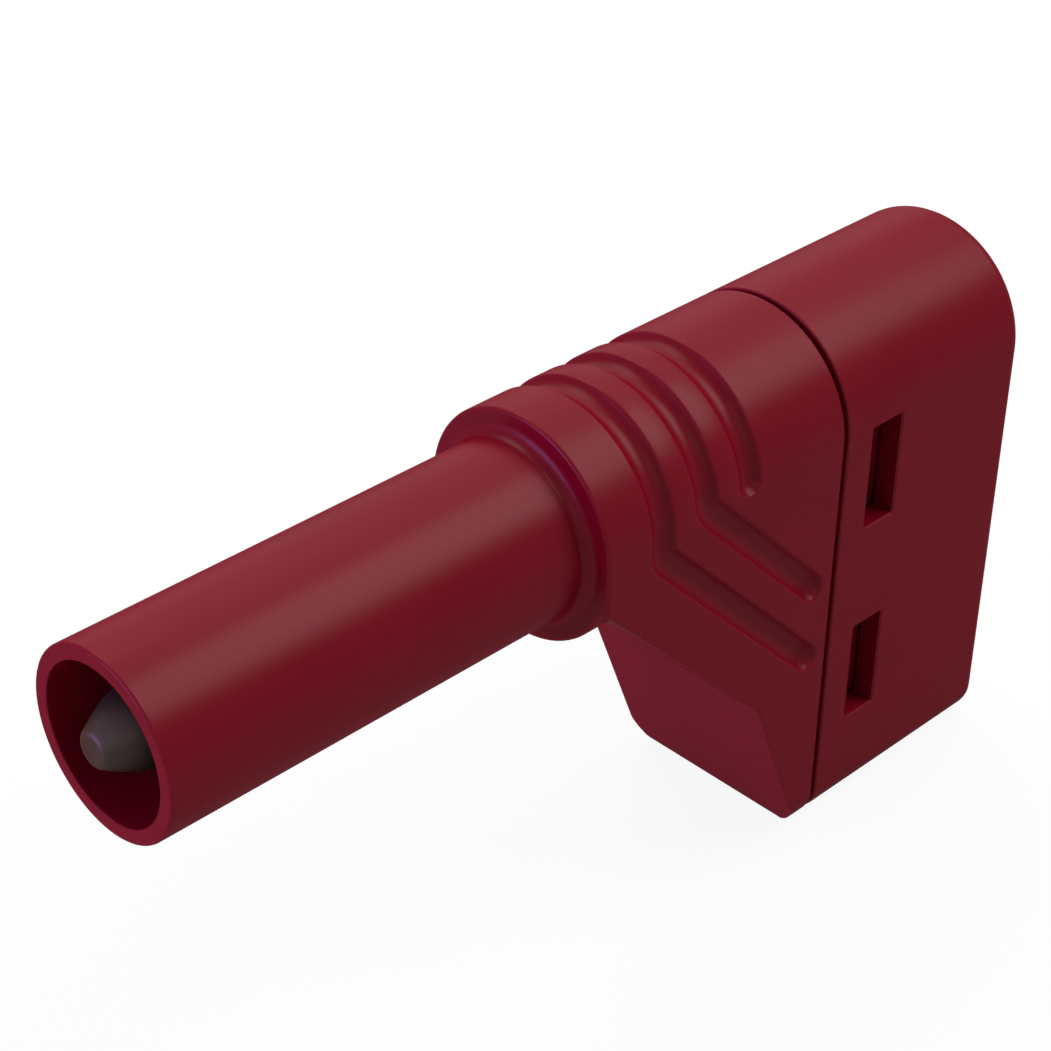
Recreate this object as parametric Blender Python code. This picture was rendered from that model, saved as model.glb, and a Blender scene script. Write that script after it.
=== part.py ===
# Right-angle banana plug with a rigid sheath, a screw terminal and a latched rear cover.
# Metres, +Z up. The plug's axis is X: the pin points along -X and the cable comes in from below.
# The origin is on that axis, in the plane of the collar's front face, which stops against the socket.
from math import cos, pi, sin, tan

import bmesh
import bpy
from mathutils import Matrix, Vector

MM = 0.001

# Sheath round the pin
SHEATH_LENGTH = 23.0 * MM
SHEATH_RADIUS = 4.45 * MM
SHEATH_WALL = 0.77 * MM
SHEATH_RIM_BREAK = 0.15 * MM
SHEATH_ROOT_FILLET = 0.6 * MM
SHEATH_FLOOR = 1.6 * MM            # depth of the sheath's bore behind the stop face
WEB = 3.4 * MM                     # wall that carries the contact

# Grip: round on top, flat sides, rounded lower edges
COLLAR_STEP = 1.25 * MM            # how far the collar stands out round the sheath
AXIS_TO_BASE = 22.9 * MM
BASE_CORNER = 1.9 * MM
COLLAR_BREAK = 0.2 * MM
HOUSING_WALL = 1.6 * MM
PARTING = 16.15 * MM               # plane where housing and cover meet
PARTING_GAP = 0.3 * MM

# Underside of the grip, seen from the side: a slope, an elbow, then a steep toe
SLOPE_START = 2.1 * MM             # below the axis, at the stop face
SLOPE_ANGLE = pi / 4
ELBOW_ROUND = 2.0 * MM
TOE_SETBACK = 1.03 * MM            # of the toe's foot from the end of the housing
TOE_LEAN = 0.38                    # radians from upright
TOE_LIFT = 0.1 * MM                # of the toe's lower edge above the base
TOE_ROUND = 0.4 * MM
BASE_LAND = 0.3 * MM               # level part of the base, in front of the parting

# Moulded finger grooves
GROOVE_FIRST = 3.52 * MM
GROOVE_PITCH = 2.89 * MM
GROOVE_COUNT = 3
GROOVE_WIDTH = 1.45 * MM
GROOVE_DEPTH = 0.5 * MM
GROOVE_BENDS = (-0.67 * MM, 0.63 * MM)     # height of the bend of the first and second groove
GROOVE_BEND_RADIUS = 1.3 * MM
GROOVE_END = 14.5 * MM             # where the two sloping grooves end, behind the stop face
SHORT_GROOVE_END = 0.9 * MM        # height where the last groove ends

# Rear cover
COVER_LENGTH = 13.7 * MM
COVER_WALL = 1.2 * MM
COVER_BACK_WALL = 1.3 * MM
COVER_ROUND = 0.8 * MM
WINDOW_ROWS = 2
WINDOW_SETBACK = 2.05 * MM         # from the parting plane
WINDOW_LENGTH = 2.2 * MM
WINDOW_HEIGHT = 5.7 * MM
WINDOW_TOP = 0.03 * MM
WINDOW_PITCH = 11.65 * MM
INLET_WIDTH = 5.0 * MM

# Locating lip and latch tongues, moulded with the housing
LIP_GAP = 0.25 * MM                # between the lip and the inside of the cover
LIP_WALL = 0.85 * MM
LIP_WRAP = 1 / 3                   # how far below the axis it wraps the barrel, as a share of its bore
LIP_ROOT = 1.3 * MM
LIP_REACH = 1.35 * MM
LIP_ABOVE_BASE = 1.8 * MM
TONGUE_REACH = 4.8 * MM
LATCH_REACH = 0.3 * MM             # how far a latch nose stands in its window
LATCH_CREST = 1 / 3                # flat part of a nose, as a share of its length
SEAT_GAP = 0.3 * MM                # between pieces that rest on or in each other

# Contact: pin, waist for the spring cage, barrel with the screw terminal
PIN_OVERHANG = 0.5 * MM            # tip in front of the sheath's rim
PIN_RADIUS = 2.0 * MM
TIP_FLAT = 0.8 * MM
TIP_CONE_LENGTH = 1.7 * MM
TIP_CONE_RADIUS = 1.63 * MM
TIP_SHOULDER = 0.9 * MM            # between the cone and the straight part of the tip
TIP_LENGTH = 3.5 * MM
TIP_RADIUS = 1.88 * MM
WAIST_RADIUS = 1.35 * MM
WAIST_LENGTH = 11.4 * MM
PIN_BREAK = 0.16 * MM
BARREL_REACH = 9.7 * MM            # behind the parting plane
BARREL_BREAK = 0.3 * MM
WIRE_SETBACK = 3.9 * MM            # axis of the wire hole and inlet, behind the parting plane
WIRE_HOLE_RADIUS = 1.6 * MM
WIRE_HOLE_TOP = 1.9 * MM

# Spring cage
LEAF_COUNT = 8
RING_LENGTH = 1.2 * MM
SHEET = 0.2 * MM
LEAF_BOW = 0.33 * MM

# Clamp screw
SCREW_RADIUS = 1.6 * MM
SCREW_LENGTH = 5.0 * MM
SCREW_CLEARANCE = 0.08 * MM
SCREW_OPEN = 0.4 * MM              # screw tip to wire hole, as delivered
SCREW_TRAVEL = 2.8 * MM
SCREW_SLOT = 0.7 * MM
SCREW_SLOT_DEPTH = 1.2 * MM
SCREW_BREAK = 0.3 * MM

# Facets
ROUND = 64                         # round a whole turn of the housing
METAL_ROUND = 48
CORNER_STEPS = 5
EDGE_STEPS = 4
GROOVE_SIDES = 14
INLET_STEPS = 12
LEAF_FACETS = 4                    # across one leaf and its slot
LEAF_STEPS = 6                     # along a leaf
OVERRUN = 2.0 * MM                 # how far a cutter passes the face that it cuts

# Worked out from the sizes above
GRIP_RADIUS = SHEATH_RADIUS + COLLAR_STEP  # half of its width, and the radius of its top and collar
HOUSING_END = PARTING - PARTING_GAP / 2
COVER_FRONT = PARTING + PARTING_GAP / 2
COVER_END = PARTING + COVER_LENGTH
SHEATH_BORE = SHEATH_RADIUS - SHEATH_WALL
SOCKET_START = SHEATH_FLOOR + WEB
BARREL_START = SOCKET_START + SEAT_GAP
BARREL_END = PARTING + BARREL_REACH
WIRE_X = PARTING + WIRE_SETBACK
COVER_INSIDE = GRIP_RADIUS - COVER_WALL
LIP_OUTSIDE = COVER_INSIDE - LIP_GAP
BARREL_BORE = LIP_OUTSIDE - LIP_WALL
BARREL_RADIUS = BARREL_BORE - SEAT_GAP
TIP_X = -SHEATH_LENGTH - PIN_OVERHANG
WAIST_START = TIP_X + TIP_LENGTH
WAIST_END = WAIST_START + WAIST_LENGTH
SCREW_BORE = SCREW_RADIUS + SCREW_CLEARANCE
SCREW_TIP = WIRE_X + WIRE_HOLE_RADIUS + SCREW_OPEN


def material(name, color, roughness, metallic=0.0):
    made = bpy.data.materials.new(name)
    made.use_nodes = True
    shader = made.node_tree.nodes["Principled BSDF"]
    shader.inputs["Base Color"].default_value = (*color, 1.0)
    shader.inputs["Roughness"].default_value = roughness
    shader.inputs["Metallic"].default_value = metallic
    return made


def add_object(name, bm, surface=None):
    bmesh.ops.recalc_face_normals(bm, faces=bm.faces)
    mesh = bpy.data.meshes.new(name)
    bm.to_mesh(mesh)
    bm.free()
    made = bpy.data.objects.new(name, mesh)
    bpy.context.scene.collection.objects.link(made)
    if surface:
        mesh.materials.append(surface)
        mesh.shade_smooth()
        mesh.set_sharp_from_angle(angle=pi / 6)
    return made


def boolean(target, tool, operation):
    """Cut tool out of target, or join it on, and hide the tool."""
    tool.hide_render = True
    tool.display_type = "WIRE"
    step = target.modifiers.new(tool.name, "BOOLEAN")
    step.operation = operation
    step.solver = "EXACT"
    step.object = tool


def loft(rings):
    """Closed skin through rings of as many points each, with a flat cap on both ends."""
    bm = bmesh.new()
    rows = [[bm.verts.new(point) for point in ring] for ring in rings]
    count = len(rows[0])
    for row, following in zip(rows, rows[1:]):
        for i in range(count):
            j = (i + 1) % count
            bm.faces.new((row[i], row[j], following[j], following[i]))
    bm.faces.new(rows[0])
    bm.faces.new(rows[-1])
    return bm


def turned(profile, segments):
    """Skin turned round X from (x, radius) points; the first and last lie on the axis."""
    turns = [2 * pi * i / segments for i in range(segments)]
    rings = [[(x, radius * cos(turn), radius * sin(turn)) for turn in turns] for x, radius in profile[1:-1]]
    return loft(rings)


def prism_y(points, half):
    """Outline of (x, z) points, extruded to both sides of the XZ plane."""
    return loft([[(x, side, z) for x, z in points] for side in (-half, half)])


def block(low, high):
    bm = bmesh.new()
    bmesh.ops.create_cube(bm, size=1.0)
    size = Vector(high) - Vector(low)
    centre = (Vector(high) + Vector(low)) / 2
    bmesh.ops.transform(bm, matrix=Matrix.Translation(centre) @ Matrix.Diagonal((*size, 1.0)), verts=bm.verts)
    return bm


def arc(centre, radius, start, end, steps):
    return [
        (centre[0] + radius * cos(start + (end - start) * i / steps),
         centre[1] + radius * sin(start + (end - start) * i / steps))
        for i in range(steps + 1)
    ]


def grip_section(x, half, base, corner):
    """Ring at x of the grip's cross-section: half a circle on top, flat sides, rounded lower corners."""
    top = arc((0.0, 0.0), half, 0.0, pi, ROUND // 2)
    left = arc((-half + corner, -base + corner), corner, pi, 1.5 * pi, CORNER_STEPS)
    right = arc((half - corner, -base + corner), corner, 1.5 * pi, 2 * pi, CORNER_STEPS)
    return [(x, y, z) for y, z in top + left + right]


def grip_block(front, back, half, base, corner, front_round=0.0, back_round=0.0):
    """The grip's cross-section run from front to back, with its end edges rounded."""
    rings = []
    if front_round:
        for i in range(EDGE_STEPS):
            angle = pi / 2 * i / EDGE_STEPS
            inset = front_round * (1 - sin(angle))
            rings.append(grip_section(front + front_round * (1 - cos(angle)), half - inset, base - inset,
                                      corner - inset))
        rings.append(grip_section(front + front_round, half, base, corner))
    else:
        rings.append(grip_section(front, half, base, corner))
    rings.append(grip_section(back - back_round, half, base, corner))
    if back_round:
        for i in range(1, EDGE_STEPS + 1):
            angle = pi / 2 * i / EDGE_STEPS
            inset = back_round * (1 - cos(angle))
            rings.append(grip_section(back - back_round * (1 - sin(angle)), half - inset, base - inset,
                                      corner - inset))
    return loft(rings)


def rounded(before, corner, after, radius):
    """Arc that rounds a corner between two straight lines."""
    back = (before - corner).normalized()
    onward = (after - corner).normalized()
    half_angle = back.angle(onward) / 2
    setback = radius / tan(half_angle)
    centre = corner + (back + onward).normalized() * (radius / sin(half_angle))
    first = corner + back * setback - centre
    last = corner + onward * setback - centre
    arms = [first.lerp(last, i / CORNER_STEPS).normalized() for i in range(CORNER_STEPS + 1)]
    return [centre + arm * radius for arm in arms]


def underside(offset, base):
    """Start, elbow and toe (x, z) of the grip's underside, moved offset into the grip."""
    along = Vector((cos(SLOPE_ANGLE), -sin(SLOPE_ANGLE)))
    down = Vector((sin(TOE_LEAN), -cos(TOE_LEAN)))
    start = Vector((0.0, -SLOPE_START)) + Vector((sin(SLOPE_ANGLE), cos(SLOPE_ANGLE))) * offset
    foot = Vector((HOUSING_END - TOE_SETBACK, -AXIS_TO_BASE))
    foot += Vector((cos(TOE_LEAN), sin(TOE_LEAN))) * offset
    elbow = start + along * ((foot - start).cross(down) / along.cross(down))
    toe = elbow + down * ((elbow.y - base) / cos(TOE_LEAN))
    return start, elbow, toe


def underside_cutter():
    """What the sloping underside and the leaning toe take off the grip's straight block."""
    start, elbow, toe = underside(0.0, TOE_LIFT - AXIS_TO_BASE)
    lead = start - (elbow - start).normalized() * (OVERRUN / cos(SLOPE_ANGLE))
    land = Vector((HOUSING_END - BASE_LAND, -AXIS_TO_BASE))
    below = land + (land - toe).normalized() * OVERRUN
    far_below = -AXIS_TO_BASE - OVERRUN
    outline = [lead] + rounded(start, elbow, toe, ELBOW_ROUND) + rounded(elbow, toe, land, TOE_ROUND)
    outline += [below, Vector((below.x, far_below)), Vector((lead.x, far_below))]
    return prism_y([tuple(point) for point in outline], GRIP_RADIUS + OVERRUN)


def sheath():
    """Sheath with the fillet at its root, still without its bore."""
    fillet = arc((-SHEATH_ROOT_FILLET, SHEATH_RADIUS + SHEATH_ROOT_FILLET), SHEATH_ROOT_FILLET,
                 1.5 * pi, 2 * pi, CORNER_STEPS)
    profile = [(-SHEATH_LENGTH, 0.0),
               (-SHEATH_LENGTH, SHEATH_RADIUS - SHEATH_RIM_BREAK),
               (-SHEATH_LENGTH + SHEATH_RIM_BREAK, SHEATH_RADIUS)]
    profile += fillet
    inside = SHEATH_FLOOR / 2
    profile += [(inside, SHEATH_RADIUS + SHEATH_ROOT_FILLET), (inside, 0.0)]
    return turned(profile, ROUND)


def contact_passage():
    """Stepped bore: sheath, web, then the socket for the contact's barrel."""
    web_bore = PIN_RADIUS + SEAT_GAP
    back = HOUSING_END + TONGUE_REACH + OVERRUN
    return turned([
        (-SHEATH_LENGTH - OVERRUN, 0.0), (-SHEATH_LENGTH - OVERRUN, SHEATH_BORE),
        (SHEATH_FLOOR, SHEATH_BORE), (SHEATH_FLOOR, web_bore),
        (SOCKET_START, web_bore), (SOCKET_START, BARREL_BORE),
        (back, BARREL_BORE), (back, 0.0)], ROUND)


def wiring_cavity():
    """Hollow below the barrel, drawn out of the back of the housing."""
    floor = HOUSING_WALL - AXIS_TO_BASE
    start, elbow, toe = underside(HOUSING_WALL, floor)
    ceiling = -SLOPE_START
    front = SOCKET_START + HOUSING_WALL / 2
    slope_at_front = start.y - (front - start.x) * tan(SLOPE_ANGLE)
    back = HOUSING_END + OVERRUN
    outline = [(front, ceiling), (front, slope_at_front), tuple(elbow), tuple(toe)]
    outline += [(back, floor), (back, ceiling)]
    return prism_y(outline, GRIP_RADIUS - HOUSING_WALL)


def window_heights():
    """Top and bottom of each latch window."""
    tops = [WINDOW_TOP - row * WINDOW_PITCH for row in range(WINDOW_ROWS)]
    return [(top, top - WINDOW_HEIGHT) for top in tops]


def latch_shell():
    """Locating lip over the top and down both sides, with two latch tongues a side reaching on."""
    front = HOUSING_END - LIP_ROOT
    back = HOUSING_END + TONGUE_REACH
    lip_end = HOUSING_END + LIP_REACH
    wide = GRIP_RADIUS + OVERRUN
    bottom = AXIS_TO_BASE - LIP_ABOVE_BASE
    shell = add_object("latch_shell", grip_block(front, back, LIP_OUTSIDE, bottom, SEAT_GAP))
    slot = add_object("lip_slot", block((front - OVERRUN, -BARREL_BORE, -AXIS_TO_BASE - OVERRUN),
                                        (back + OVERRUN, BARREL_BORE, -BARREL_BORE * LIP_WRAP)))
    boolean(shell, slot, "DIFFERENCE")
    limits = [GRIP_RADIUS + OVERRUN]
    for window_top, window_bottom in window_heights():
        limits += [window_top - SEAT_GAP, window_bottom + SEAT_GAP]
    limits.append(-AXIS_TO_BASE - OVERRUN)
    for number, (high, low) in enumerate(zip(limits[::2], limits[1::2])):
        space = block((lip_end, -wide, low), (back + OVERRUN, wide, high))
        boolean(shell, add_object(f"tongue_space_{number + 1}", space), "DIFFERENCE")
    return shell


def latch_noses():
    """One wedge for each window: steep where it holds the cover, sloped where the cover rides over it."""
    front = PARTING + WINDOW_SETBACK + SEAT_GAP
    back = PARTING + WINDOW_SETBACK + WINDOW_LENGTH - SEAT_GAP
    crest = COVER_INSIDE + LATCH_REACH
    sunk = LIP_OUTSIDE - SEAT_GAP
    crest_end = front + (back - front) * LATCH_CREST
    noses = []
    for number, (top, bottom) in enumerate(window_heights()):
        for side in (-1, 1):
            outline = [(front, sunk), (front, crest), (crest_end, crest), (back, sunk)]
            low = bottom + 2 * SEAT_GAP
            high = top - 2 * SEAT_GAP
            bm = loft([[(x, side * y, z) for x, y in outline] for z in (low, high)])
            side_name = "near" if side < 0 else "far"
            noses.append(add_object(f"latch_nose_{side_name}_{number + 1}", bm))
    return noses


def groove_path(number):
    """Centre line of one groove's cutter, from the end on the near side over the top to the far side."""
    x = GROOVE_FIRST + number * GROOVE_PITCH
    half_width = GROOVE_WIDTH / 2
    radius = (half_width ** 2 + GROOVE_DEPTH ** 2) / (2 * GROOVE_DEPTH)
    reach = GRIP_RADIUS + radius - GROOVE_DEPTH
    side = []
    if number < len(GROOVE_BENDS):
        bend_z = GROOVE_BENDS[number]
        end_z = bend_z - (GROOVE_END - x) * tan(SLOPE_ANGLE)
        half_turn = (pi / 2 - SLOPE_ANGLE) / 2
        centre = (x + GROOVE_BEND_RADIUS, bend_z + GROOVE_BEND_RADIUS * tan(half_turn))
        bend = arc(centre, GROOVE_BEND_RADIUS, pi + 2 * half_turn, pi, EDGE_STEPS)
        side = [(GROOVE_END, end_z)] + bend
    else:
        side = [(x, SHORT_GROOVE_END)]
    near = [Vector((px, -reach, pz)) for px, pz in side]
    steps = ROUND // 2
    over = [Vector((x, -reach * cos(pi * i / steps), reach * sin(pi * i / steps))) for i in range(steps + 1)]
    if near[-1].z > 0:
        over = [point for point in over if point.z > near[-1].z]
    far = [Vector((point.x, -point.y, point.z)) for point in reversed(near)]
    return near + over + far, radius


def groove_cutter(number):
    """Round bar along a groove's centre line, with ball ends."""
    path, radius = groove_path(number)
    last = len(path) - 1
    ball = [(sin(pi / 2 * i / EDGE_STEPS), cos(pi / 2 * i / EDGE_STEPS)) for i in range(EDGE_STEPS)]
    rings = []
    for i, point in enumerate(path):
        tangent = (path[min(i + 1, last)] - path[max(i - 1, 0)]).normalized()
        outward = Vector((0.0, point.y, max(point.z, 0.0))).normalized()
        across = outward.cross(tangent).normalized()
        up = tangent.cross(across).normalized()
        stations = [(0.0, 1.0)]
        if i == 0:
            stations = [(-shift, share) for shift, share in reversed(ball)]
        elif i == last:
            stations = ball
        for shift, share in stations:
            centre = point + tangent * (shift * radius)
            turns = [2 * pi * k / GROOVE_SIDES for k in range(GROOVE_SIDES)]
            arms = [across * cos(turn) + up * sin(turn) for turn in turns]
            rings.append([centre + arm * (share * radius) for arm in arms])
    return loft(rings)


def front_housing(surface):
    grip = grip_block(0.0, HOUSING_END, GRIP_RADIUS, AXIS_TO_BASE, BASE_CORNER, front_round=COLLAR_BREAK)
    housing = add_object("front_housing", grip, surface)
    undercut = add_object("underside_cut", underside_cutter())
    collar_end = GRIP_RADIUS + OVERRUN
    kept = add_object("collar_kept", turned([(-2 * OVERRUN, 0.0), (-2 * OVERRUN, GRIP_RADIUS),
                                             (collar_end, GRIP_RADIUS), (collar_end, 0.0)], ROUND))
    boolean(undercut, kept, "DIFFERENCE")
    boolean(housing, undercut, "DIFFERENCE")
    boolean(housing, add_object("wiring_cavity", wiring_cavity()), "DIFFERENCE")
    boolean(housing, add_object("sheath", sheath()), "UNION")
    boolean(housing, latch_shell(), "UNION")
    for nose in latch_noses():
        boolean(housing, nose, "UNION")
    boolean(housing, add_object("contact_passage", contact_passage()), "DIFFERENCE")
    for number in range(GROOVE_COUNT):
        boolean(housing, add_object(f"groove_{number + 1}", groove_cutter(number)), "DIFFERENCE")
    return housing


def rear_cover(surface):
    body = grip_block(COVER_FRONT, COVER_END, GRIP_RADIUS, AXIS_TO_BASE, BASE_CORNER, back_round=COVER_ROUND)
    cover = add_object("rear_cover", body, surface)
    hollow = grip_block(COVER_FRONT - OVERRUN, COVER_END - COVER_BACK_WALL, COVER_INSIDE,
                        AXIS_TO_BASE - COVER_WALL, BASE_CORNER - COVER_WALL)
    boolean(cover, add_object("cover_hollow", hollow), "DIFFERENCE")
    wide = GRIP_RADIUS + OVERRUN
    front = PARTING + WINDOW_SETBACK
    for number, (top, bottom) in enumerate(window_heights()):
        window = block((front, -wide, bottom), (front + WINDOW_LENGTH, wide, top))
        boolean(cover, add_object(f"latch_windows_{number + 1}", window), "DIFFERENCE")
    inlet_radius = INLET_WIDTH / 2
    outline = [(COVER_FRONT - OVERRUN, -inlet_radius)]
    outline += arc((WIRE_X, 0.0), inlet_radius, -pi / 2, pi / 2, INLET_STEPS)
    outline += [(COVER_FRONT - OVERRUN, inlet_radius)]
    low = -AXIS_TO_BASE - OVERRUN
    high = -AXIS_TO_BASE + COVER_WALL + OVERRUN
    inlet = loft([[(x, y, z) for x, y in outline] for z in (low, high)])
    boolean(cover, add_object("cable_inlet", inlet), "DIFFERENCE")
    return cover


def contact_pin(surface):
    shoulder = TIP_X + TIP_CONE_LENGTH + TIP_SHOULDER
    pin = add_object("contact_pin", turned([
        (TIP_X, 0.0), (TIP_X, TIP_FLAT),
        (TIP_X + TIP_CONE_LENGTH, TIP_CONE_RADIUS),
        (shoulder, TIP_RADIUS),
        (WAIST_START - PIN_BREAK, TIP_RADIUS), (WAIST_START, TIP_RADIUS - PIN_BREAK),
        (WAIST_START, WAIST_RADIUS), (WAIST_END, WAIST_RADIUS),
        (WAIST_END, PIN_RADIUS - PIN_BREAK), (WAIST_END + PIN_BREAK, PIN_RADIUS),
        (BARREL_START, PIN_RADIUS), (BARREL_START, BARREL_RADIUS - BARREL_BREAK),
        (BARREL_START + BARREL_BREAK, BARREL_RADIUS), (BARREL_END - BARREL_BREAK, BARREL_RADIUS),
        (BARREL_END, BARREL_RADIUS - BARREL_BREAK), (BARREL_END, 0.0)], METAL_ROUND), surface)
    thread_end = SCREW_TIP - SCREW_TRAVEL - SEAT_GAP
    mouth = SCREW_BORE + BARREL_BREAK
    thread = add_object("clamp_bore", turned([
        (thread_end, 0.0), (thread_end, SCREW_BORE),
        (BARREL_END - BARREL_BREAK, SCREW_BORE), (BARREL_END, mouth),
        (BARREL_END + OVERRUN, mouth + OVERRUN), (BARREL_END + OVERRUN, 0.0)], METAL_ROUND // 2))
    wire_hole = bmesh.new()
    depth = BARREL_RADIUS + OVERRUN + WIRE_HOLE_TOP
    bmesh.ops.create_cone(wire_hole, cap_ends=True, segments=METAL_ROUND // 2, radius1=WIRE_HOLE_RADIUS,
                          radius2=WIRE_HOLE_RADIUS, depth=depth,
                          matrix=Matrix.Translation((WIRE_X, 0.0, WIRE_HOLE_TOP - depth / 2)))
    boolean(pin, thread, "DIFFERENCE")
    boolean(pin, add_object("wire_hole", wire_hole), "DIFFERENCE")
    return pin


def contact_cage(surface):
    """Rolled sheet with bowed leaves between two rings, and a gap in the waist at each end."""
    start = WAIST_START + SEAT_GAP
    end = WAIST_END - SEAT_GAP
    ring_radius = WAIST_RADIUS + SEAT_GAP + SHEET
    segments = LEAF_COUNT * LEAF_FACETS
    leaf_start = start + RING_LENGTH
    leaf_end = end - RING_LENGTH
    stations = [(start, 0.0)]
    for i in range(LEAF_STEPS + 1):
        share = i / LEAF_STEPS
        stations.append((leaf_start + (leaf_end - leaf_start) * share, sin(pi * share) * LEAF_BOW))
    stations.append((end, 0.0))
    bm = bmesh.new()
    turns = [2 * pi * i / segments for i in range(segments)]
    rows = []
    for x, bow in stations:
        radius = ring_radius + bow
        rows.append([bm.verts.new((x, radius * cos(turn), radius * sin(turn))) for turn in turns])
    last_band = len(rows) - 2
    for row in range(last_band + 1):
        for i in range(segments):
            in_slot = i % LEAF_FACETS == 0 and 0 < row < last_band
            if not in_slot:
                j = (i + 1) % segments
                bm.faces.new((rows[row][i], rows[row][j], rows[row + 1][j], rows[row + 1][i]))
    cage = add_object("contact_cage", bm, surface)
    sheet = cage.modifiers.new("sheet", "SOLIDIFY")
    sheet.thickness = SHEET
    sheet.offset = -1.0
    return cage


def clamp_screw(surface):
    """Grub screw with a slot in its rear end; its own origin lies on its axis."""
    screw = add_object("clamp_screw", turned([
        (0.0, 0.0), (0.0, SCREW_RADIUS - SCREW_BREAK), (SCREW_BREAK, SCREW_RADIUS),
        (SCREW_LENGTH - SCREW_BREAK, SCREW_RADIUS), (SCREW_LENGTH, SCREW_RADIUS - SCREW_BREAK),
        (SCREW_LENGTH, 0.0)], METAL_ROUND // 2), surface)
    screw.location = (SCREW_TIP, 0.0, 0.0)
    slot_end = SCREW_TIP + SCREW_LENGTH
    slot = block((slot_end - SCREW_SLOT_DEPTH, -SCREW_SLOT / 2, -SCREW_RADIUS - OVERRUN),
                 (slot_end + OVERRUN, SCREW_SLOT / 2, SCREW_RADIUS + OVERRUN))
    boolean(screw, add_object("driver_slot", slot), "DIFFERENCE")
    return screw


for existing in list(bpy.data.objects):
    bpy.data.objects.remove(existing)

red_moulding = material("red_moulding", (0.115, 0.008, 0.012), 0.42)
nickel = material("nickel_plated_brass", (0.55, 0.52, 0.47), 0.25, 1.0)
spring_bronze = material("spring_bronze", (0.60, 0.50, 0.36), 0.3, 1.0)
zinc_steel = material("zinc_plated_steel", (0.56, 0.57, 0.58), 0.32, 1.0)

front_housing(red_moulding)
rear_cover(red_moulding)
contact_pin(nickel)
contact_cage(spring_bronze)
clamp_screw(zinc_steel)
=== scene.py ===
# A right-angle banana plug: rigid round sheath, grooved grip, latched rear cover and the contact inside.
# Metres, +Z up. The plug's axis is X, with the pin towards -X, and its collar's front face lies at x = 0.
from math import asin, cos, pi, radians, sin, sqrt, tan

import bmesh
import bpy
from mathutils import Matrix, Vector


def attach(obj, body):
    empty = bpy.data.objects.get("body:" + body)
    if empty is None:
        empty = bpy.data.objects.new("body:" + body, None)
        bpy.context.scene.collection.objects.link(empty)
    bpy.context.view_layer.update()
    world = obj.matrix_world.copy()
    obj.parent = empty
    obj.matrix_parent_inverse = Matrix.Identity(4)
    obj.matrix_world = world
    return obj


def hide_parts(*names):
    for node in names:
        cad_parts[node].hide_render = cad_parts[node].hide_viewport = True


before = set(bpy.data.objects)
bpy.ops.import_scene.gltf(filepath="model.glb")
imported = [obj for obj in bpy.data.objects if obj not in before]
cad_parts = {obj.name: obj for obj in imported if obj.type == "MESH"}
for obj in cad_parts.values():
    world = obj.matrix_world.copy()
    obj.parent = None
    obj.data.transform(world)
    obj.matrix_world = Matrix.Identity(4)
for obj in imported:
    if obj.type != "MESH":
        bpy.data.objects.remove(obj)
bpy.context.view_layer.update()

# Front housing: one injection moulding in dark red plastic, with the sheath round the pin, the collar that
# stops against the socket, the grip with its three finger grooves and the tongues that the cover clicks over.
# Its skin is satin, with softly broken edges and a fine spark-eroded grain.
mm = 0.001
near, merge_gap, parallel = 0.001 * mm, 0.002 * mm, 0.999
round_sides = 144
quarter_sides = round_sides // 4
corner_steps, toe_steps, break_steps, side_steps, root_steps = 10, 6, 3, 4, 8
sheath_length, sheath_radius, sheath_bore = 23.0 * mm, 4.45 * mm, 3.68 * mm
sheath_floor, web_bore, socket_start = 1.6 * mm, 2.3 * mm, 5.0 * mm
rim_break, sheath_root = 0.15 * mm, 0.6 * mm
grip_radius, grip_base, base_corner = 5.7 * mm, 22.9 * mm, 1.9 * mm
collar_break, parting_break, side_break, side_turn = 0.2 * mm, 0.13 * mm, 0.12 * mm, radians(80)
mouth_break = 0.1 * mm
housing_end, shell_wall, beyond = 16.0 * mm, 1.6 * mm, 3 * mm
slope_start, slope, elbow_round = 2.1 * mm, pi / 4, 2.6 * mm
toe_foot, toe_lean, toe_lift, base_land = 14.97 * mm, 0.38, 0.1 * mm, 0.3 * mm
toe_round, least_round = 0.4 * mm, 0.05 * mm
lip_outside, lip_root, lip_reach, lip_base = 4.25 * mm, 1.3 * mm, 1.35 * mm, 21.1 * mm
tongue_reach, barrel_bore, play = 4.8 * mm, 3.4 * mm, 0.3 * mm
window_front, window_length, window_height = 18.2 * mm, 2.2 * mm, 5.7 * mm
window_tops = (0.03 * mm, -11.62 * mm)
nose_foot, nose_crest, nose_ramp = 3.95 * mm, 4.8 * mm, 2 / 3


def deselect():
    if bpy.context.object and bpy.context.object.mode != "OBJECT":
        bpy.ops.object.mode_set(mode="OBJECT")
    bpy.ops.object.select_all(action="DESELECT")


def name_it(name):
    """Names the primitive just added and puts its place into its mesh."""
    made = bpy.context.object
    made.name = made.data.name = name
    bpy.ops.object.transform_apply(location=True, rotation=True, scale=True)
    return made


def edit(piece):
    deselect()
    bpy.context.view_layer.objects.active = piece
    piece.select_set(True)
    bpy.ops.object.mode_set(mode="EDIT")


def pick(kind, wanted):
    """Selects what passes a test, of the piece in edit mode; kind is VERT, EDGE or FACE."""
    bpy.ops.mesh.select_mode(type=kind)
    bpy.ops.mesh.select_all(action="DESELECT")
    bm = bmesh.from_edit_mesh(bpy.context.object.data)
    for thing in {"VERT": bm.verts, "EDGE": bm.edges, "FACE": bm.faces}[kind]:
        thing.select_set(wanted(thing))
    bm.select_flush_mode()
    bmesh.update_edit_mesh(bpy.context.object.data)


def middle(edge):
    return (edge.verts[0].co + edge.verts[1].co) / 2


def along(edge, axis):
    run = edge.verts[1].co - edge.verts[0].co
    return run.length > 0 and abs(run[axis]) > parallel * run.length


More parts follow.
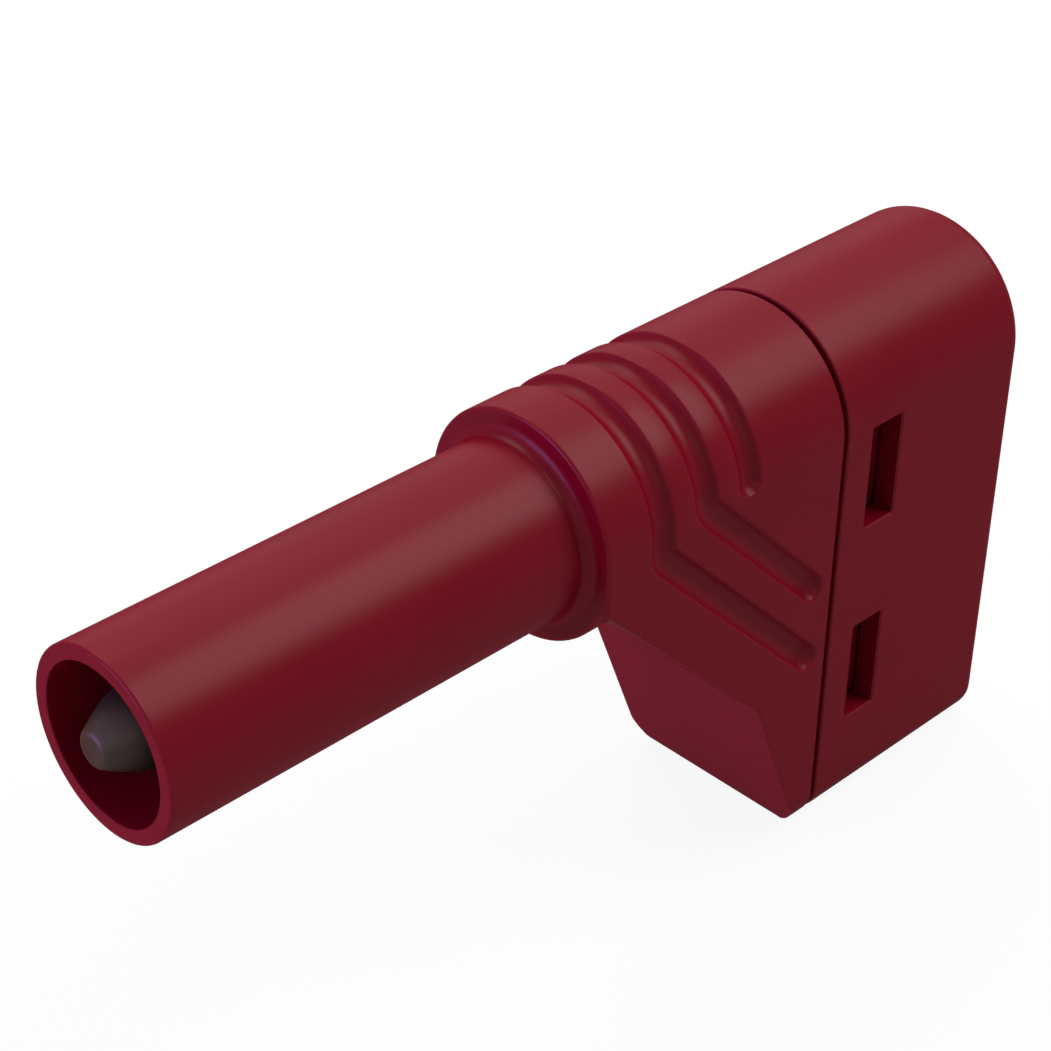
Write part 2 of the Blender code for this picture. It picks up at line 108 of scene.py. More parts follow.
def round_off(size, steps, wanted):
    """Bevels the wanted edges of the piece in edit mode."""
    pick("EDGE", wanted)
    bpy.ops.mesh.bevel(offset=size, offset_type="OFFSET", segments=steps, affect="EDGES", clamp_overlap=False)


def merge_points():
    bpy.ops.mesh.select_all(action="SELECT")
    bpy.ops.mesh.remove_doubles(threshold=merge_gap)
    bpy.ops.mesh.normals_make_consistent(inside=False)


def block(name, low, high):
    deselect()
    centre = (Vector(low) + Vector(high)) / 2
    bpy.ops.mesh.primitive_cube_add(size=1, location=centre, scale=Vector(high) - Vector(low))
    return name_it(name)


def grip_form(name, front, back, half, base, corner, front_break=0.0, back_break=0.0, steps=break_steps):
    """The grip's section, round on top with rounded lower edges, between two planes across the axis."""
    piece = block(name, (front, -half, -base), (back, half, half))
    edit(piece)
    round_off(half, quarter_sides, lambda e: along(e, 0) and middle(e).z > 0)
    merge_points()
    round_off(corner, corner_steps, lambda e: along(e, 0) and middle(e).z < -base + near)
    for place, size in ((front, front_break), (back, back_break)):
        if size:
            round_off(size, steps, lambda e: all(abs(v.co.x - place) < near for v in e.verts))
    deselect()
    return piece


def turned(name, profile, sides=round_sides, capped=True):
    """A round piece along X, drawn out of a disc or a ring through stations of (x, radius)."""
    deselect()
    x, radius = profile[0]
    fill = "NGON" if capped else "NOTHING"
    bpy.ops.mesh.primitive_circle_add(vertices=sides, radius=radius, fill_type=fill, location=(x, 0, 0),
                                      rotation=(0, pi / 2, 0))
    piece = name_it(name)
    edit(piece)
    bpy.ops.mesh.select_all(action="SELECT")
    for following, wide in profile[1:]:
        bpy.ops.mesh.extrude_region_move(TRANSFORM_OT_translate={"value": (following - x, 0, 0)})
        bpy.ops.transform.resize(value=(1, wide / radius, wide / radius), center_override=(following, 0, 0))
        x, radius = following, wide
    bpy.ops.mesh.select_all(action="SELECT")
    bpy.ops.mesh.normals_make_consistent(inside=False)
    deselect()
    return piece


def skinned(name, rings, capped):
    """A closed skin over a row of rings that have as many points each."""
    count = len(rings[0])
    faces = [(start + i, start + (i + 1) % count, start + count + (i + 1) % count, start + count + i)
             for start in range(0, count * (len(rings) - 1), count) for i in range(count)]
    if capped:
        faces += [tuple(range(count)), tuple(range(count * (len(rings) - 1), count * len(rings)))]
    mesh = bpy.data.meshes.new(name)
    mesh.from_pydata([point for ring in rings for point in ring], [], faces)
    piece = bpy.data.objects.new(name, mesh)
    bpy.context.scene.collection.objects.link(piece)
    edit(piece)
    merge_points()
    deselect()
    return piece


def modify(piece, kind, **settings):
    """Adds a modifier to the piece, sets it and applies it."""
    deselect()
    bpy.context.view_layer.objects.active = piece
    piece.select_set(True)
    bpy.ops.object.modifier_add(type=kind)
    step = piece.modifiers[-1]
    for key, value in settings.items():
        setattr(step, key, value)
    bpy.ops.object.modifier_apply(modifier=step.name)


def cut(piece, tool, operation="DIFFERENCE"):
    """Cuts the tool out of the piece, or joins it on, and throws the tool away."""
    modify(piece, "BOOLEAN", operation=operation, solver="EXACT", object=tool)
    bpy.data.objects.remove(tool)


def quarter(radius, steps, turn=pi / 2):
    """Points (inset, out) along the arc of a rounded edge."""
    return [(radius * (1 - cos(turn * i / steps)), radius * sin(turn * i / steps)) for i in range(steps + 1)]


def rounded(before, corner, after, radius, steps):
    """Points of the arc that rounds the corner between two straight lines."""
    back, onward = (before - corner).normalized(), (after - corner).normalized()
    half_angle = back.angle(onward) / 2
    centre = corner + (back + onward).normalized() * (radius / sin(half_angle))
    first = corner + back * (radius / tan(half_angle)) - centre
    last = corner + onward * (radius / tan(half_angle)) - centre
    return [centre + first.lerp(last, i / steps).normalized() * radius for i in range(steps + 1)]


def underside(inward):
    """Outline (x, z) of what the slope and the toe leave free below the grip, moved inward into it."""
    ahead = Vector((cos(slope), -sin(slope)))
    down = Vector((sin(toe_lean), -cos(toe_lean)))
    start = Vector((0, -slope_start)) + Vector((sin(slope), cos(slope))) * inward
    foot = Vector((toe_foot, -grip_base)) + Vector((cos(toe_lean), sin(toe_lean))) * inward
    elbow = start + ahead * ((foot - start).cross(down) / ahead.cross(down))
    toe = elbow + down * ((elbow.y + grip_base - toe_lift - inward) / cos(toe_lean))
    land = Vector((housing_end - base_land, -grip_base + inward))
    outline = [start - ahead * beyond]
    outline += rounded(start, elbow, toe, elbow_round + inward, corner_steps)
    outline += rounded(elbow, toe, land, max(toe_round - inward, least_round), toe_steps)
    outline.append(land + (land - toe).normalized() * beyond)
    return outline + [Vector((end.x, -grip_base - beyond)) for end in (outline[-1], outline[0])]


def under_grip(name, stations):
    """The free space below the grip, as a tool; its stations are (y, how far it is moved inward)."""
    return skinned(name, [[(x, y, z) for x, z in underside(inward)] for y, inward in stations], capped=True)


housing = grip_form("front_housing_moulding", 0.0, housing_end, grip_radius, grip_base, base_corner,
                    collar_break, parting_break)
side_curve = quarter(side_break, side_steps, side_turn)
flared = [(grip_radius - side_break + out, inward) for inward, out in side_curve]
flared.append((grip_radius + beyond, flared[-1][1]))
free_space = under_grip("free_space", [(-y, inward) for y, inward in reversed(flared)] + flared)
collar = [(-2 * beyond, grip_radius - collar_break)]
collar += [(inset, grip_radius - collar_break + out) for inset, out in quarter(collar_break, break_steps)]
collar.append((grip_radius + beyond, grip_radius))
cut(free_space, turned("collar_left", collar))
cut(housing, free_space)

# The hollow for the wires, drawn out of the back.
hollow_half, hollow_start = grip_radius - shell_wall, socket_start + shell_wall / 2
hollow = block("wiring_hollow", (hollow_start, -hollow_half, -grip_base + shell_wall),
               (housing_end + beyond, hollow_half, -slope_start))
cut(hollow, under_grip("hollow_front", [(-grip_radius, shell_wall), (grip_radius, shell_wall)]))
cut(housing, hollow)

# The sheath, flared into the collar's face by a fillet.
rim = quarter(rim_break, break_steps)
sheath = [(-sheath_length + inset, sheath_radius - rim_break + out) for inset, out in rim]
sheath += [(-sheath_root + out, sheath_radius + inset) for inset, out in quarter(sheath_root, root_steps)]
sheath.append((sheath_floor / 2, sheath_radius + sheath_root))
cut(housing, turned("sheath", sheath), "UNION")

# The lip and the latch tongues, with a nose for each window.
lip = grip_form("latch_lip", housing_end - lip_root, housing_end + tongue_reach, lip_outside, lip_base, play)
cut(lip, block("lip_slot", (housing_end - 2 * lip_root, -barrel_bore, -grip_base - beyond),
               (housing_end + 2 * tongue_reach, barrel_bore, -barrel_bore / 3)))
space_tops = [grip_radius + beyond] + [top - window_height - play for top in window_tops]
space_ends = [top - play for top in window_tops] + [-grip_base - beyond]
for high, low in zip(space_tops, space_ends):
    cut(lip, block("tongue_space", (housing_end + lip_reach, -grip_radius - beyond, low),
                   (housing_end + 2 * tongue_reach, grip_radius + beyond, high)))
for top in window_tops:
    for side in (-1, 1):
        depths = sorted((side * nose_foot, side * nose_crest))
        nose = block("latch_nose", (window_front + play, depths[0], top - window_height + 2 * play),
                     (window_front + window_length - play, depths[1], top - 2 * play))
        edit(nose)
        pick("EDGE", lambda e: along(e, 2) and middle(e).x > window_front + window_length / 2
             and abs(middle(e).y) > (nose_foot + nose_crest) / 2)
        bpy.ops.transform.translate(value=((2 * play - window_length) * nose_ramp, 0, 0))
        cut(lip, nose, "UNION")
cut(housing, lip, "UNION")

# The stepped passage for the contact, with the edge of the sheath's mouth broken in two steps.
cut(housing, turned("passage", [
    (-sheath_length - beyond, sheath_bore + mouth_break), (-sheath_length, sheath_bore + mouth_break),
    (-sheath_length + mouth_break / 3, sheath_bore + mouth_break / 3),
    (-sheath_length + mouth_break, sheath_bore), (sheath_floor, sheath_bore),
    (sheath_floor, web_bore), (socket_start, web_bore),
    (socket_start, barrel_bore), (housing_end + 2 * tongue_reach, barrel_bore)]))

# Three finger grooves run over the top; the first two bend and follow the slope down both sides. Each tool
# has the groove's section, which rolls over into the skin at its rims, and is turned round at both ends.
# A groove is given by its place along the axis, the height of its bend and where it ends: along the axis for
# a groove that bends, and round the top from the axis's height for the one that doesn't.
groove_end = 14.5 * mm
grooves = ((3.52 * mm, -0.67 * mm, groove_end),
           (6.41 * mm, 0.63 * mm, groove_end),
           (9.3 * mm, None, 0.9 * mm))
groove_half, groove_depth, rim_roll, bend_radius = 0.74 * mm, 0.46 * mm, 0.22 * mm, 1.3 * mm
section_steps, roll_steps, bend_steps, end_steps = 7, 5, 8, 8
tool_skirt, tool_top, least_step = 0.3 * mm, 0.8 * mm, 0.02 * mm
groove_turn = pi / 2 / quarter_sides
hollow_radius = (groove_half ** 2 + groove_depth ** 2) / (2 * groove_depth)
hollow_height = hollow_radius - groove_depth
rim_height = hollow_height + rim_roll
rim_turn = asin(sqrt((hollow_radius + rim_roll) ** 2 - rim_height ** 2) / (hollow_radius + rim_roll))
rim_middle = (hollow_radius + rim_roll) * sin(rim_turn)
rim_last = radians(15)
turns = [rim_turn * i / section_steps for i in range(section_steps + 1)]
half_section = [(hollow_radius * sin(turn), hollow_height - hollow_radius * cos(turn)) for turn in turns]
for i in range(1, roll_steps + 1):
    turn = rim_turn + (rim_last - rim_turn) * i / roll_steps
    half_section.append((rim_middle - rim_roll * sin(turn), rim_roll * (cos(turn) - 1)))
across, height = half_section[-1]
half_section.append((across + tool_skirt, height + tool_skirt * tan(rim_last)))
half_section.append((across + tool_skirt, tool_top))
groove_section = [(-across, height) for across, height in reversed(half_section[1:])] + half_section


def groove_stations(x, bend_z, end):
    """Points on the skin along a groove, each with the way outward and the way onward there."""
    if bend_z is None:
        route = [(x, end, 0, 1)]
    else:
        route = [(end, bend_z - (end - x), -cos(slope), sin(slope))]
        for i in range(bend_steps + 1):
            turn = slope * (1 - i / bend_steps)
            height = bend_z + bend_radius * (tan(slope / 2) - sin(turn))
            route.append((x + bend_radius * (1 - cos(turn)), height, -sin(turn), cos(turn)))
    for i in range(quarter_sides + 1):
        if groove_turn * i * grip_radius > route[-1][1] + least_step:
            route.append((x, groove_turn * i * grip_radius, 0, 1))
    stations = []
    for place, run, back, up in route:
        turn = max(run, 0) / grip_radius
        outward = Vector((0, -cos(turn), sin(turn)))
        point = Vector((place, 0, min(run, 0))) + outward * grip_radius
        stations.append((point, outward, Vector((back, up * sin(turn), up * cos(turn)))))
    far_side = [(Vector((p.x, -p.y, p.z)), Vector((0, -n.y, n.z)), Vector((-t.x, t.y, -t.z)))
                for p, n, t in reversed(stations[:-1])]
    return stations + far_side


def groove_tool(x, bend_z, end):
    """The cutter of one groove: its section at every station, folded round the middle at both ends."""
    stations = groove_stations(x, bend_z, end)
    half_turn = [pi / 2 * i / end_steps for i in range(1, end_steps + 1)]
    rings = []
    for number, (point, outward, onward) in enumerate(stations):
        sideways = outward.cross(onward)
        folds = [(0.0, 0)]
        if number == 0:
            folds = [(fold, -1) for fold in reversed(half_turn)] + folds
        elif number == len(stations) - 1:
            folds += [(fold, 1) for fold in half_turn]
        for fold, way in folds:
            rings.append([point + sideways * (across * cos(fold)) + onward * (way * abs(across) * sin(fold))
                          + outward * height for across, height in groove_section])
    return skinned("groove_tool", rings, capped=False)


for groove in grooves:
    cut(housing, groove_tool(*groove))
    edit(housing)
    merge_points()


class Shader:
    """A node tree, with one way to add any node: its settings first, then its sockets' values or links."""

    def __init__(self, owner):
        owner.use_nodes = True
        self.tree = owner.node_tree

    def node(self, kind, settings, inputs, output=0):
        made = self.tree.nodes.new(kind)
        for key, value in settings.items():
            setattr(made, key, value)
        for key, value in inputs.items():
            self.feed(made, key, value)
        return Signal(self, made.outputs[output])

    def feed(self, node, socket, value):
        if isinstance(value, Signal):
            self.tree.links.new(value.socket, node.inputs[socket])
        else:
            node.inputs[socket].default_value = value


class Signal:
    """A number on a shader socket, so that shader maths is written as plain sums."""

    def __init__(self, shader, socket):
        self.shader, self.socket = shader, socket

    def maths(self, operation, first, second=0.0):
        return self.shader.node("ShaderNodeMath", {"operation": operation}, {0: first, 1: second})

    def __add__(self, other):
        return self.maths("ADD", self, other)

    def __sub__(self, other):
        return self.maths("SUBTRACT", self, other)

    def __rsub__(self, other):
        return self.maths("SUBTRACT", other, self)

    def __mul__(self, other):
        return self.maths("MULTIPLY", self, other)

    def __pow__(self, other):
        return self.maths("POWER", self, other)

    __radd__ = __add__
    __rmul__ = __mul__


class Finish(Shader):
    """A surface built round one Principled shader."""

    def __init__(self, name, **constants):
        self.material = bpy.data.materials.new(name)
        super().__init__(self.material)
        self.surface = self.tree.nodes["Principled BSDF"]
        for socket, value in constants.items():
            self.surface.inputs[socket.replace("_", " ")].default_value = value

    def place(self):
        return self.node("ShaderNodeTexCoord", {}, {}, "Object")

    def noise(self, scale, detail=2.0, place=None):
        inputs = {"Vector": place or self.place(), "Scale": scale, "Detail": detail}
        return self.node("ShaderNodeTexNoise", {}, inputs)

    def edges(self, radius, gain=5.0):
        """Towards one along the edges, where hands and tools wear a piece, and zero elsewhere."""
        ends = {0: self.node("ShaderNodeBevel", {"samples": 4}, {"Radius": radius}),
                1: self.node("ShaderNodeNewGeometry", {}, {}, "Normal")}
        match = self.node("ShaderNodeVectorMath", {"operation": "DOT_PRODUCT"}, ends, "Value")
        return self.ramp(1 - match, gain)

    def ramp(self, value, gain):
        """The value times the gain, held between zero and one."""
        return self.node("ShaderNodeMath", {"operation": "MULTIPLY", "use_clamp": True}, {0: value, 1: gain})

    def colour(self, share, first, second):
        ends = [end if isinstance(end, Signal) else (*end, 1) for end in (first, second)]
        return self.node("ShaderNodeMix", {"data_type": "RGBA"}, {0: share, 6: ends[0], 7: ends[1]}, 2)

    def bump(self, height, strength, distance):
        return self.node("ShaderNodeBump", {}, {"Strength": strength, "Distance": distance, "Height": height})

    def put_on(self, piece):
        piece.data.materials.clear()
        piece.data.materials.append(self.material)


clouds, smudges, rubs, grain = 180, 1400, 900, 9000
red = Finish("red_moulding", Specular_IOR_Level=0.0, Coat_Weight=0.064, Coat_IOR=2.0, Coat_Roughness=0.34)
cloudy = red.colour(red.noise(clouds), (0.102, 0.0008, 0.0062), (0.118, 0.0013, 0.0080))
handled = red.edges(0.06 * mm) * red.noise(rubs, detail=3.0)
red.feed(red.surface, "Base Color", red.colour(handled, cloudy, (0.16, 0.008, 0.014)))
red.feed(red.surface, "Roughness", red.noise(smudges) * 0.10 + 0.39 - handled * 0.2)
red.feed(red.surface, "Normal", red.bump(red.noise(grain, detail=3.0), strength=0.12, distance=0.02 * mm))


def finish_off(piece, finish, body, node, smooth_angle=32):
    """Rounded faces shaded smooth and flat ones left flat, then the finish, and what the piece rides on."""
    deselect()
    bpy.context.view_layer.objects.active = piece
    piece.select_set(True)
    bpy.ops.object.shade_smooth_by_angle(angle=radians(smooth_angle))
    modify(piece, "WEIGHTED_NORMAL", keep_sharp=True)
    finish.put_on(piece)
    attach(piece, body)
    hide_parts(node)


finish_off(housing, red, "plug_body", "front_housing")

# Rear cover: a second moulding in the same red plastic, a cap with two windows on each side for the latch
# noses and a slot below for the cable. It slides on from behind and clicks over the tongues.
cover_front, cover_end, cover_round, cover_steps = 16.3 * mm, 29.85 * mm, 0.8 * mm, 8
cover_wall, back_wall = 1.2 * mm, 1.3 * mm
window_corner, window_flare, inlet_half, inlet_steps = 0.12 * mm, 0.09 * mm, 2.5 * mm, 12
wire_x, square_on = 20.05 * mm, 0.99
cover = grip_form("rear_cover_moulding", cover_front, cover_end, grip_radius, grip_base, base_corner,
                  parting_break, cover_round, cover_steps)
cut(cover, grip_form("cover_hollow", cover_front - beyond, cover_end - back_wall, grip_radius - cover_wall,
                     grip_base - cover_wall, base_corner - cover_wall))


def flare(piece, axis, ends, size, out):
    """Widens a tool's ends, so that the edge of the hole that it cuts is broken; in edit mode."""
    for end in ends:
        pick("FACE", lambda f: f.normal[axis] * end > square_on)
        bm = bmesh.from_edit_mesh(piece.data)
        rim = [v.co.copy() for v in bm.verts if v.select]
        low = Vector([min(co[i] for co in rim) for i in range(3)])
        high = Vector([max(co[i] for co in rim) for i in range(3)])
        wider = [1 if i == axis else 1 + 2 * size / (high[i] - low[i]) for i in range(3)]
        move = [end * size if i == axis else 0 for i in range(3)]
        bpy.ops.mesh.extrude_region_move(TRANSFORM_OT_translate={"value": move})
        bpy.ops.transform.resize(value=wider, center_override=(low + high) / 2 + Vector(move))
        move = [end * out if i == axis else 0 for i in range(3)]
        bpy.ops.mesh.extrude_region_move(TRANSFORM_OT_translate={"value": move})


for top in window_tops:
    window = block("window", (window_front, -grip_radius + window_flare, top - window_height),
                   (window_front + window_length, grip_radius - window_flare, top))
    edit(window)
    round_off(window_corner, break_steps, lambda e: along(e, 1))
    flare(window, 1, (-1, 1), window_flare, beyond)
    cut(cover, window)
inlet = block("inlet", (cover_front - beyond, -inlet_half, -grip_base + window_flare),
              (wire_x + inlet_half, inlet_half, -grip_base + cover_wall + beyond))
edit(inlet)
round_off(inlet_half, inlet_steps, lambda e: along(e, 2) and middle(e).x > wire_x)
merge_points()
flare(inlet, 2, (-1,), window_flare, beyond)
cut(cover, inlet)
finish_off(cover, red, "rear_cover", "rear_cover")

# Contact pin: one turning in brass, nickel plated and pressed through the housing's web. It has a blunt nose,
# a waist for the spring cage and a barrel behind, drilled across for the wire and tapped from its end.
nose_x, nose_flat, nose_length, nose_radius = -23.5 * mm, 0.95 * mm, 2.6 * mm, 1.88 * mm
waist_start, waist_end, waist_radius = -20.0 * mm, -8.6 * mm, 1.35 * mm
pin_radius, pin_break, nose_roll, nose_turn = 2.0 * mm, 0.16 * mm, 0.35 * mm, radians(57)
barrel_start, barrel_end, barrel_radius, barrel_break = 5.3 * mm, 25.85 * mm, 3.1 * mm, 0.3 * mm
wire_radius, wire_top, tapped_from, tapped_radius = 1.6 * mm, 1.9 * mm, 18.95 * mm, 1.68 * mm
metal_sides, nose_steps, nose_roll_steps, pin_steps, barrel_steps = 96, 16, 6, 4, 5
nose_curve = quarter(nose_roll, nose_roll_steps, nose_turn)
pin_curve, barrel_curve = quarter(pin_break, pin_steps), quarter(barrel_break, barrel_steps)
profile = [(nose_x + inset, nose_flat - nose_roll + out) for inset, out in nose_curve]
roll_end, roll_radius = profile[-1]
for i in range(1, nose_steps + 1):
    radius = roll_radius + (nose_radius - roll_radius) * sin(pi / 2 * i / nose_steps)
    profile.append((roll_end + nose_length * i / nose_steps, radius))
profile += [(waist_start - pin_break + out, nose_radius - inset) for inset, out in pin_curve]
profile += [(waist_start, waist_radius), (waist_end, waist_radius)]
profile += [(waist_end + inset, pin_radius - pin_break + out) for inset, out in pin_curve]
profile.append((barrel_start, pin_radius))
profile += [(barrel_start + inset, barrel_radius - barrel_break + out) for inset, out in barrel_curve]
profile += [(barrel_end - barrel_break + out, barrel_radius - inset) for inset, out in barrel_curve]
pin = turned("contact_pin_turning", profile, metal_sides)
cut(pin, turned("tapped_hole", [(tapped_from, tapped_radius), (barrel_end - barrel_break, tapped_radius),
                                (barrel_end + mm, tapped_radius + barrel_break + mm)], metal_sides))
deselect()
bpy.ops.mesh.primitive_cylinder_add(vertices=metal_sides, radius=wire_radius,
                                    depth=barrel_radius + wire_top + beyond,
                                    location=(wire_x, 0, (wire_top - barrel_radius - beyond) / 2))
wire_hole = name_it("wire_hole")
edit(wire_hole)
round_off(barrel_break, break_steps, lambda e: middle(e).z > wire_top - near)
cut(pin, wire_hole)


def turning_marks(finish, scale):
    """Fine rings that a lathe leaves round the X axis, across round faces and end faces alike."""
    apart = finish.node("ShaderNodeSeparateXYZ", {}, {0: finish.place()})
    x, y, z = [Signal(finish, apart.socket.node.outputs[i]) for i in range(3)]
    radius = (y * y + z * z) ** 0.5
    return finish.noise(scale, detail=3.0, place=finish.node("ShaderNodeCombineXYZ", {}, {0: x, 1: radius}))


# The nose's colour is painted dark, in olive-brown and blue-grey patches that stand in for the reflections it
# shows at the sheath's mouth, and the plating is bright from the waist on.
nickel = Finish("nickel_plated_brass", Metallic=1.0, Specular_Tint=(0.85, 0.6, 0.45, 1))
plating_fade, nose_reflection_patches, plating_clouds, smears = 1.25 * mm, 500, 700, 900
marks = turning_marks(nickel, scale=12000)
along_pin = nickel.node("ShaderNodeSeparateXYZ", {}, {0: nickel.place()})
bright = nickel.ramp(along_pin - waist_start, 1 / plating_fade)
# Painted reflection: dark olive-brown and blue-grey patches on the nose, in place of what the plating would
# reflect there.
nose_painted_reflection = nickel.colour(nickel.noise(nose_reflection_patches), (0.032, 0.020, 0.011), (0.050, 0.042, 0.041))
plating = nickel.colour(nickel.noise(plating_clouds, detail=3.0), (0.42, 0.38, 0.33), (0.52, 0.49, 0.44))
nickel.feed(nickel.surface, "Base Color", nickel.colour(bright, nose_painted_reflection, plating))
nickel.feed(nickel.surface, "Roughness", nickel.noise(smears) * 0.14 + marks * 0.08 + 0.46 - bright * 0.18)
nickel.feed(nickel.surface, "Normal", nickel.bump(marks, strength=0.10, distance=0.01 * mm))
finish_off(pin, nickel, "plug_body", "contact_pin")

# Contact cage: a sheet of thin spring bronze, punched, rolled up and snapped into the pin's waist. Its eight
# bowed leaves between two rings press against the inside of the socket.
leaf_count, leaf_sides, slot_sides, leaf_steps = 8, 12, 3, 24
sheet, sheet_break, ring_length, leaf_bow = 0.2 * mm, 0.02 * mm, 1.2 * mm, 0.33 * mm
cage_start, cage_end = waist_start + play, waist_end - play
ring_radius = waist_radius + play + sheet
slot_start, slot_end, slot_round = cage_start + ring_length, cage_end - ring_length, 0.18 * mm
slot_length = slot_end - slot_start
leaf_length = slot_length - 2 * slot_round
near_turn, least_share, sheet_edge = 0.01, 0.04, radians(50)
rows = [0.0, slot_round / 6, slot_round / 2, slot_round]
places = [slot_start + row for row in rows]
places += [slot_start + slot_round + leaf_length * i / leaf_steps for i in range(1, leaf_steps)]
places += [slot_end - row for row in reversed(rows)]
stations = [(cage_start, ring_radius)]
stations += [(x, ring_radius + leaf_bow * sin(pi * (x - slot_start) / slot_length)) for x in places]
stations.append((cage_end, ring_radius))
cage = turned("contact_cage_sheet", stations, leaf_count * leaf_sides, capped=False)
edit(cage)
leaf_turn = 2 * pi / leaf_count
half_slot = leaf_turn * slot_sides / leaf_sides / 2


def from_slot(co):
    """Angle round the axis from the middle of the nearest slot."""
    turn = (Vector((co.y, co.z)).angle_signed(Vector((1, 0))) + half_slot) % leaf_turn
    return turn - leaf_turn if turn > leaf_turn / 2 else turn


pick("FACE", lambda f: slot_start < f.calc_center_median().x < slot_end
     and abs(from_slot(f.calc_center_median())) < half_slot)
bpy.ops.mesh.delete(type="FACE")
shape = bmesh.from_edit_mesh(cage.data)
for point in shape.verts:
    depth = min(point.co.x - slot_start, slot_end - point.co.x)
    turn = from_slot(point.co)
    if -near < depth < slot_round and abs(abs(turn) - half_slot) < near_turn:
        share = sqrt(max(1 - (1 - max(depth, 0) / slot_round) ** 2, least_share))
        point.co = Matrix.Rotation(turn * (1 - share), 3, "X") @ point.co
bmesh.update_edit_mesh(cage.data)
bpy.ops.mesh.select_all(action="SELECT")
bpy.ops.mesh.normals_make_consistent(inside=False)
modify(cage, "SOLIDIFY", thickness=sheet, offset=-1)
modify(cage, "BEVEL", width=sheet_break, segments=2, limit_method="ANGLE", angle_limit=sheet_edge)
bronze = Finish("spring_bronze", Metallic=1.0)
bronze_clouds, bronze_smears, bronze_grain = 700, 2200, 6000
tinted = bronze.colour(bronze.noise(bronze_clouds, detail=4.0), (0.36, 0.24, 0.12), (0.46, 0.34, 0.20))
rolled = bronze.noise(bronze_grain, detail=3.0)
bronze.feed(bronze.surface, "Base Color", tinted)
bronze.feed(bronze.surface, "Roughness", bronze.noise(bronze_smears, detail=3.0) * 0.16 + 0.26)
bronze.feed(bronze.surface, "Normal", bronze.bump(rolled, strength=0.08, distance=0.01 * mm))
finish_off(cage, bronze, "plug_body", "contact_cage")

# Clamp screw: a slotted grub screw in zinc-plated steel with a rolled thread. It is driven in from behind,
# once the cover is off, and clamps the stripped wire in the barrel.
screw_tip, screw_length, screw_radius, screw_break = 22.05 * mm, 5.0 * mm, 1.6 * mm, 0.3 * mm
pitch, thread_depth, thread_land = 0.7 * mm, 0.34 * mm, 0.12
slot_width, slot_depth = 0.7 * mm, 1.2 * mm
thread_steps, thread_sides = 12, 60
blank_end = screw_tip + screw_length


def thread_radius(x, turn):
    """Distance from the axis of the thread's flank at a place along the screw and an angle round it."""
    wave = abs(2 * (((x - screw_tip) / pitch - turn / (2 * pi)) % 1) - 1)
    depth = thread_depth * min(max((wave - thread_land) / (1 - 2 * thread_land), 0), 1)
    return min(screw_radius - depth, screw_radius - screw_break + min(x - screw_tip, blank_end - x))


ring_count = round(screw_length / pitch * thread_steps)
turns = [2 * pi * i / thread_sides for i in range(thread_sides)]
rings = []
for step in range(ring_count + 1):
    x = screw_tip + screw_length * step / ring_count
    radii = [thread_radius(x, turn) for turn in turns]
    rings.append([(x, radius * cos(turn), radius * sin(turn)) for turn, radius in zip(turns, radii)])
thread = skinned("clamp_screw_thread", rings, capped=True)
cut(thread, block("driver_slot", (blank_end - slot_depth, -slot_width / 2, -2 * screw_radius),
                  (blank_end + beyond, slot_width / 2, 2 * screw_radius)))
zinc = Finish("zinc_plated_steel", Metallic=1.0)
zinc_clouds, zinc_smears = 1500, 3000
bluish = zinc.colour(zinc.noise(zinc_clouds, detail=3.0), (0.44, 0.46, 0.50), (0.56, 0.56, 0.54))
zinc.feed(zinc.surface, "Base Color", bluish)
zinc.feed(zinc.surface, "Roughness", zinc.noise(zinc_smears, detail=4.0) * 0.18 + 0.24)
lathe_marks = turning_marks(zinc, scale=9000)
zinc.feed(zinc.surface, "Normal", zinc.bump(lathe_marks, strength=0.08, distance=0.01 * mm))
finish_off(thread, zinc, "clamp_screw", "clamp_screw")

# Studio: a pale floor just under the plug, a white surround that only the eye and reflections see, six soft
# lamps and the camera, which stands where the photograph was taken from.
floor_size, floor_gap, floor_white, room_light = 6, 0.02 * mm, 0.91, 0.17
lamp_aim = Vector((10, 0, -5)) * mm
deselect()
bpy.ops.mesh.primitive_plane_add(size=floor_size, location=(0, 0, -grip_base - floor_gap))
floor = name_it("studio_floor")
paper = Finish("studio_floor", Base_Color=(0.58, 0.58, 0.58, 1), Roughness=0.9)


def seen_or_reflected(shader):
    """One for what the camera sees, straight, reflected or through glass, and zero for light that falls."""
    straight = shader.node("ShaderNodeLightPath", {}, {}, "Is Camera Ray")
    glossy = Signal(shader, straight.socket.node.outputs["Is Glossy Ray"])
    through = Signal(shader, straight.socket.node.outputs["Is Transmission Ray"])
    return straight.maths("MAXIMUM", straight, straight.maths("MAXIMUM", glossy, through))


white = paper.node("ShaderNodeEmission", {}, {})
mixed = paper.node("ShaderNodeMixShader", {}, {0: seen_or_reflected(paper) * floor_white, 2: white})
paper.tree.links.new(paper.surface.outputs[0], mixed.socket.node.inputs[1])
paper.tree.links.new(mixed.socket, paper.tree.nodes["Material Output"].inputs[0])
paper.put_on(floor)

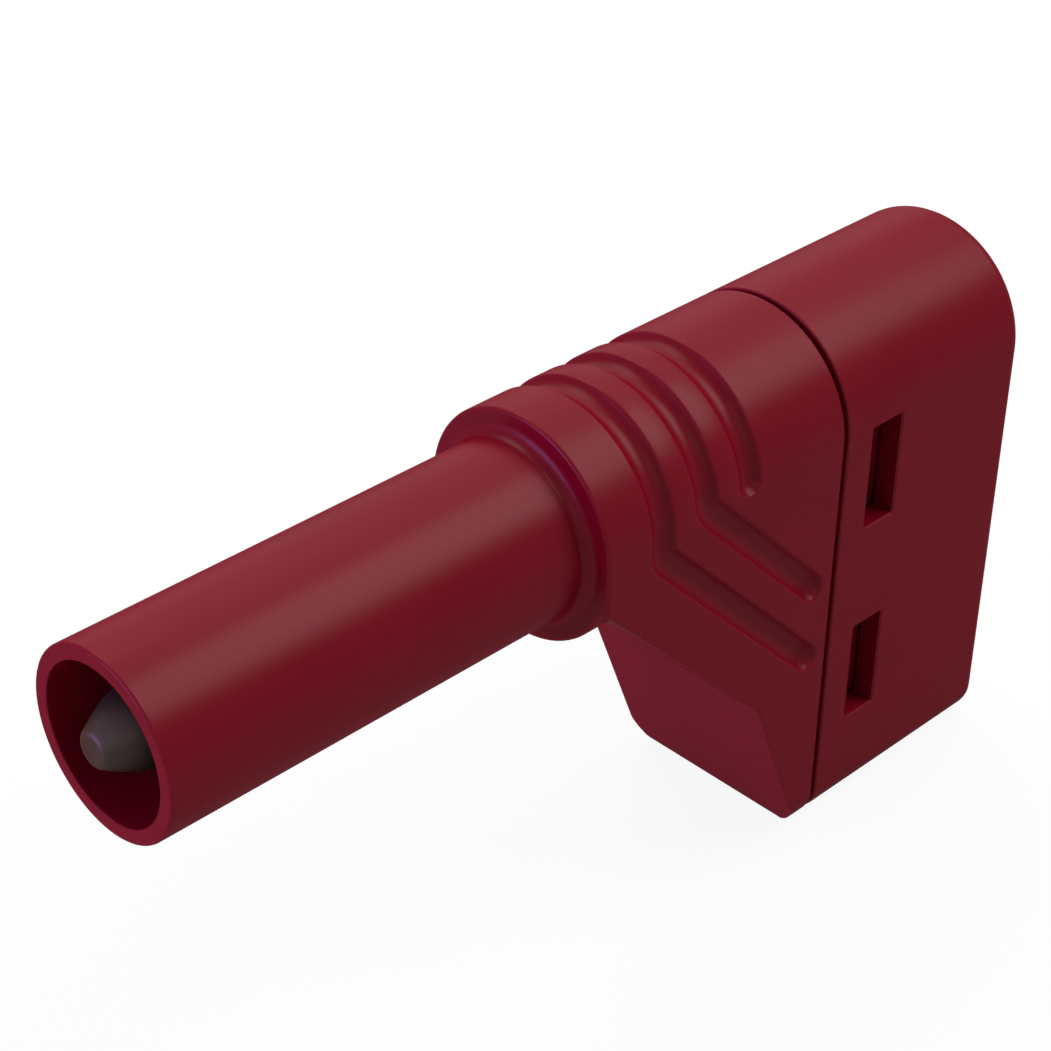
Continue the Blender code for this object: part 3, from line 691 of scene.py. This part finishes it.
bpy.context.scene.world = bpy.data.worlds.new("studio")
room = Shader(bpy.context.scene.world)
backdrop = room.tree.nodes["Background"]
backdrop.inputs["Color"].default_value = (1, 1, 1, 1)
room.feed(backdrop, "Strength", seen_or_reflected(room) * (1 - room_light) + room_light)


def softbox(name, place, size, power, colour=(1, 1, 1)):
    """A round lamp of that size in metres and power in watts, turned towards the plug."""
    lamp = bpy.data.lights.new(name, "AREA")
    lamp.shape, lamp.size, lamp.energy, lamp.color = "DISK", size, power, colour
    held = bpy.data.objects.new(name, lamp)
    bpy.context.scene.collection.objects.link(held)
    held.location = place
    held.rotation_euler = (lamp_aim - held.location).to_track_quat("-Z", "Y").to_euler()


softbox("key", (0.27, -0.18, 0.39), 0.38, 2.8, (1.0, 0.95, 0.90))
softbox("top", (0.27, 0.15, 0.38), 0.38, 0.85, (1.0, 0.97, 0.92))
softbox("back", (0.29, 0.40, 0.14), 0.40, 1.0)
softbox("over", (0.03, 0.29, 0.38), 0.28, 1.3, (1.0, 0.93, 0.84))
softbox("front", (-0.45, 0.13, 0.09), 0.36, 3.8, (0.62, 0.34, 1.0))
softbox("fill", (-0.22, -0.37, 0.25), 0.34, 0.3)

camera_place = Vector((-67.46, -67.95, 63.27)) * mm
look_turn, look_down, roll = radians(45.0046), radians(33.4431), radians(-0.9747)
focal_pixels, photo_pixels = 2562.4, 1051
forward = Vector((cos(look_down) * cos(look_turn), cos(look_down) * sin(look_turn), -sin(look_down)))
level = Vector((sin(look_turn), -cos(look_turn), 0))
below = forward.cross(level)
right = level * cos(roll) + below * sin(roll)
down = below * cos(roll) - level * sin(roll)
lens = bpy.data.cameras.new("camera")
lens.sensor_width = 36
lens.lens = focal_pixels / photo_pixels * lens.sensor_width
lens.clip_start = 5 * mm
camera = bpy.data.objects.new("camera", lens)
bpy.context.scene.collection.objects.link(camera)
facing = Matrix((right, -down, -forward)).transposed()
camera.matrix_world = Matrix.Translation(camera_place) @ facing.to_4x4()
bpy.context.scene.camera = camera
bpy.context.scene.view_settings.view_transform = "Standard"
